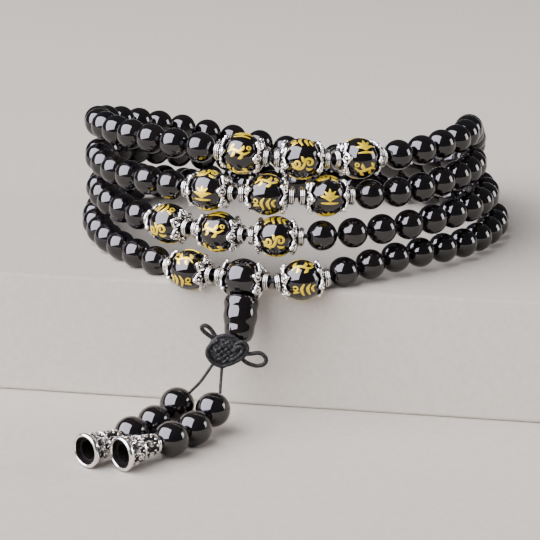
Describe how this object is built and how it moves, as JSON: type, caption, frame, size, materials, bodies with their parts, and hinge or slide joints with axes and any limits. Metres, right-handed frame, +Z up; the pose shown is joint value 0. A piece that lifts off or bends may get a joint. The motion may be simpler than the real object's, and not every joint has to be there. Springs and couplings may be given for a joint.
{
  "type": "mala prayer beads",
  "caption": "Wrist mala wound in stacked turns: round black stone beads, capped larger beads at the front, guru bead, barrel bead, tied knot and two beaded strings with cones.",
  "frame": {"origin": "on the ring's upright axis, on the raised surface that the lowest turn rests on; the pendant and tail hang over its edge, below the origin", "axes": "+Z up, through the ring; -Y towards the front, where the larger beads and the pendant are; +X to the right as seen from the front"},
  "size_m": [0.0907, 0.118, 0.0549],
  "materials": {
    "stone": "polished black stone, mirror gloss",
    "silver": "antiqued silver, dark in the recesses, polished on the edges",
    "gold": "satin gilt strokes on the larger beads",
    "elastic": "black elastic cord",
    "cord": "matt black braided cord"
  },
  "bodies": {
    "ring": {"ring_cord_row_1": "elastic", "small_beads_run_1": "stone", "ring_cord_row_2": "elastic", "small_beads_run_2": "stone", "ring_cord_row_3": "elastic", "small_beads_run_3": "stone", "ring_cord_row_4": "elastic", "small_beads_run_4": "stone"},
    "ornament_1_1": {"ornament_bead_1_1": "stone", "bead_cap_1_1_a": "silver", "bead_cap_1_1_b": "silver"},
    "ornament_1_2": {"ornament_bead_1_2": "stone", "bead_cap_1_2_a": "silver", "bead_cap_1_2_b": "silver"},
    "ornament_1_3": {"ornament_bead_1_3": "stone", "bead_cap_1_3_a": "silver", "bead_cap_1_3_b": "silver"},
    "ornament_2_1": {"ornament_bead_2_1": "stone", "bead_cap_2_1_a": "silver", "bead_cap_2_1_b": "silver"},
    "ornament_2_2": {"ornament_bead_2_2": "stone", "bead_cap_2_2_a": "silver", "bead_cap_2_2_b": "silver"},
    "ornament_2_3": {"ornament_bead_2_3": "stone", "bead_cap_2_3_a": "silver", "bead_cap_2_3_b": "silver"},
    "ornament_3_1": {"ornament_bead_3_1": "stone", "bead_cap_3_1_a": "silver", "bead_cap_3_1_b": "silver"},
    "ornament_3_2": {"ornament_bead_3_2": "stone", "bead_cap_3_2_a": "silver", "bead_cap_3_2_b": "silver"},
    "ornament_3_3": {"ornament_bead_3_3": "stone", "bead_cap_3_3_a": "silver", "bead_cap_3_3_b": "silver"},
    "ornament_4_1": {"ornament_bead_4_1": "stone", "bead_cap_4_1_a": "silver", "bead_cap_4_1_b": "silver"},
    "pendant": {"guru_bead": "stone", "bead_cap_4_2_a": "silver", "bead_cap_4_2_b": "silver", "pendant_cord": "cord", "barrel_bead": "stone"},
    "ornament_4_3": {"ornament_bead_4_3": "stone", "bead_cap_4_3_a": "silver", "bead_cap_4_3_b": "silver"},
    "knot": {"tied_knot": "cord"},
    "string_a": {"tail_string_a": "cord"},
    "tail_bead_a1": {"tail_bead_a1": "stone"},
    "tail_bead_a2": {"tail_bead_a2": "stone"},
    "tail_bead_a3": {"tail_bead_a3": "stone"},
    "cone_a": {"cone_a": "silver"},
    "string_b": {"tail_string_b": "cord"},
    "tail_bead_b1": {"tail_bead_b1": "stone"},
    "tail_bead_b2": {"tail_bead_b2": "stone"},
    "tail_bead_b3": {"tail_bead_b3": "stone"},
    "cone_b": {"cone_b": "silver"}
  },
  "joints": [
    {"name": "ornament_1_1_spin", "type": "hinge", "parent": "ring", "child": "ornament_1_1", "pos_m": [0.01276, -0.03713, 0.02456], "axis": [-0.9302, -0.3649, 0.0409], "continuous": true},
    {"name": "ornament_1_2_spin", "type": "hinge", "parent": "ring", "child": "ornament_1_2", "pos_m": [0.00153, -0.03982, 0.02512], "axis": [-0.9955, -0.0772, 0.0543], "continuous": true},
    {"name": "ornament_1_3_spin", "type": "hinge", "parent": "ring", "child": "ornament_1_3", "pos_m": [-0.00995, -0.03874, 0.0259], "axis": [-0.9687, 0.2376, 0.0724], "continuous": true},
    {"name": "ornament_2_1_spin", "type": "hinge", "parent": "ring", "child": "ornament_2_1", "pos_m": [0.00637, -0.04065, 0.0179], "axis": [-0.9869, -0.1573, 0.0364], "continuous": true},
    {"name": "ornament_2_2_spin", "type": "hinge", "parent": "ring", "child": "ornament_2_2", "pos_m": [-0.00518, -0.04091, 0.01822], "axis": [-0.9932, 0.1145, 0.0205], "continuous": true},
    {"name": "ornament_2_3_spin", "type": "hinge", "parent": "ring", "child": "ornament_2_3", "pos_m": [-0.01641, -0.03814, 0.01839], "axis": [-0.929, 0.37, 0.0072], "continuous": true},
    {"name": "ornament_3_1_spin", "type": "hinge", "parent": "ring", "child": "ornament_3_1", "pos_m": [-0.00334, -0.042, 0.01009], "axis": [-0.9941, 0.1081, 0.0025], "continuous": true},
    {"name": "ornament_3_2_spin", "type": "hinge", "parent": "ring", "child": "ornament_3_2", "pos_m": [-0.01455, -0.03915, 0.01022], "axis": [-0.9286, 0.3707, 0.0141], "continuous": true},
    {"name": "ornament_3_3_spin", "type": "hinge", "parent": "ring", "child": "ornament_3_3", "pos_m": [-0.02454, -0.03335, 0.01034], "axis": [-0.776, 0.6307, 0.0086], "continuous": true},
    {"name": "ornament_4_1_spin", "type": "hinge", "parent": "ring", "child": "ornament_4_1", "pos_m": [0.00156, -0.04503, 0.00208], "axis": [-0.9868, -0.1507, -0.0596], "continuous": true},
    {"name": "pendant_swing", "type": "hinge", "parent": "ring", "child": "pendant", "pos_m": [-0.00987, -0.04372, 0.00199], "axis": [0.9536, -0.3002, -0.0232], "range_deg": [-30, 35]},
    {"name": "ornament_4_3_spin", "type": "hinge", "parent": "ring", "child": "ornament_4_3", "pos_m": [-0.02038, -0.0389, 0.00235], "axis": [-0.8532, 0.5208, 0.0295], "continuous": true},
    {"name": "knot_swing", "type": "hinge", "parent": "pendant", "child": "knot", "pos_m": [-0.01077, -0.04912, -0.00958], "axis": [1, 0, 0], "range_deg": [0, 30]},
    {"name": "string_a_swing", "type": "hinge", "parent": "knot", "child": "string_a", "pos_m": [-0.01595, -0.0519, -0.01325], "axis": [1, 0, 0], "range_deg": [-15, 70]},
    {"name": "tail_bead_a1_spin", "type": "hinge", "parent": "string_a", "child": "tail_bead_a1", "pos_m": [-0.02255, -0.0555, -0.01985], "axis": [-0.6476, -0.6014, -0.4679], "continuous": true},
    {"name": "tail_bead_a2_spin", "type": "hinge", "parent": "string_a", "child": "tail_bead_a2", "pos_m": [-0.02664, -0.0611, -0.0215], "axis": [-0.5745, -0.8091, -0.1235], "continuous": true},
    {"name": "tail_bead_a3_spin", "type": "hinge", "parent": "string_a", "child": "tail_bead_a3", "pos_m": [-0.03068, -0.06695, -0.0216], "axis": [-0.6216, -0.7833, -0.007], "continuous": true},
    {"name": "cone_a_spin", "type": "hinge", "parent": "string_a", "child": "cone_a", "pos_m": [-0.03313, -0.06965, -0.0216], "axis": [-0.6723, -0.7403, 0], "continuous": true},
    {"name": "string_b_swing", "type": "hinge", "parent": "knot", "child": "string_b", "pos_m": [-0.01395, -0.0519, -0.01375], "axis": [1, 0, 0], "range_deg": [-15, 70]},
    {"name": "tail_bead_b1_spin", "type": "hinge", "parent": "string_b", "child": "tail_bead_b1", "pos_m": [-0.01558, -0.0577, -0.0201], "axis": [-0.3495, -0.7973, -0.492], "continuous": true},
    {"name": "tail_bead_b2_spin", "type": "hinge", "parent": "string_b", "child": "tail_bead_b2", "pos_m": [-0.019, -0.0638, -0.0216], "axis": [-0.5281, -0.843, -0.1021], "continuous": true},
    {"name": "tail_bead_b3_spin", "type": "hinge", "parent": "string_b", "child": "tail_bead_b3", "pos_m": [-0.0231, -0.0697, -0.02155], "axis": [-0.6642, -0.7475, 0.0035], "continuous": true},
    {"name": "cone_b_spin", "type": "hinge", "parent": "string_b", "child": "cone_b", "pos_m": [-0.02583, -0.07212, -0.02155], "axis": [-0.7483, -0.6633, 0], "continuous": true}
  ]
}
